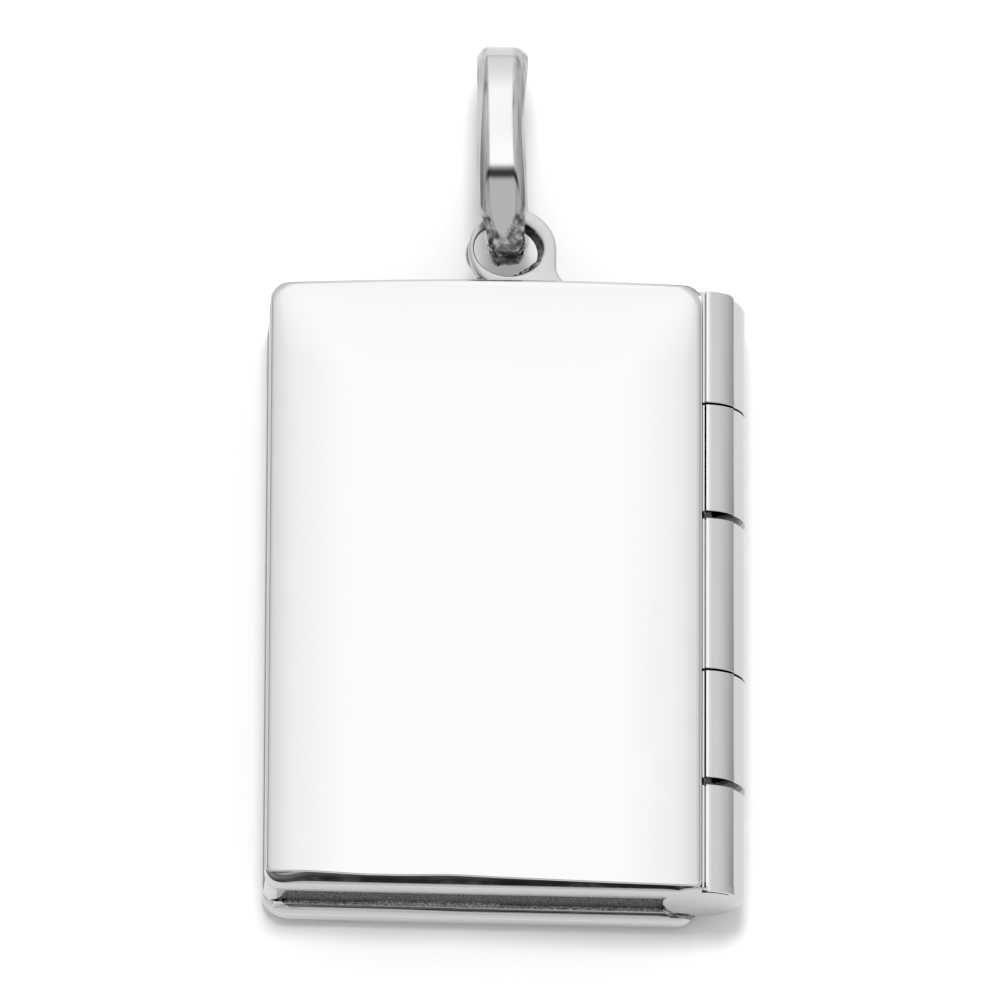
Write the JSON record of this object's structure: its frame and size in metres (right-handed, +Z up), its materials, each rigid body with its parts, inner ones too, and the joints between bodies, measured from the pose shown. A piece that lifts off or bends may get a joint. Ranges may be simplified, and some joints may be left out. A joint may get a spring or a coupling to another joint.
{
  "type": "book locket",
  "caption": "Silver locket shaped like a closed book, with covers on a knuckled hinge, a soldered loop and an oval bail, lying face down.",
  "frame": {"origin": "middle of the front cover's flat outer face, on which the closed locket lies", "axes": "+X from the fore-edge to the spine, +Y from the foot to the loop and bail, +Z up through both covers"},
  "size_m": [0.0177, 0.0342, 0.0054],
  "materials": {
    "polished_silver": "mirror polished sterling silver, darkened and granular in the recessed page edges and groove"
  },
  "bodies": {
    "front": {"front_cover": "polished_silver"},
    "back": {"back_cover": "polished_silver", "hinge_pin": "polished_silver", "bail": "polished_silver"}
  },
  "joints": [
    {"name": "cover_hinge", "type": "hinge", "parent": "front", "child": "back", "pos_m": [0.00819, 0, 0.00225], "axis": [0, 1, 0], "range_deg": [0, 170]}
  ]
}
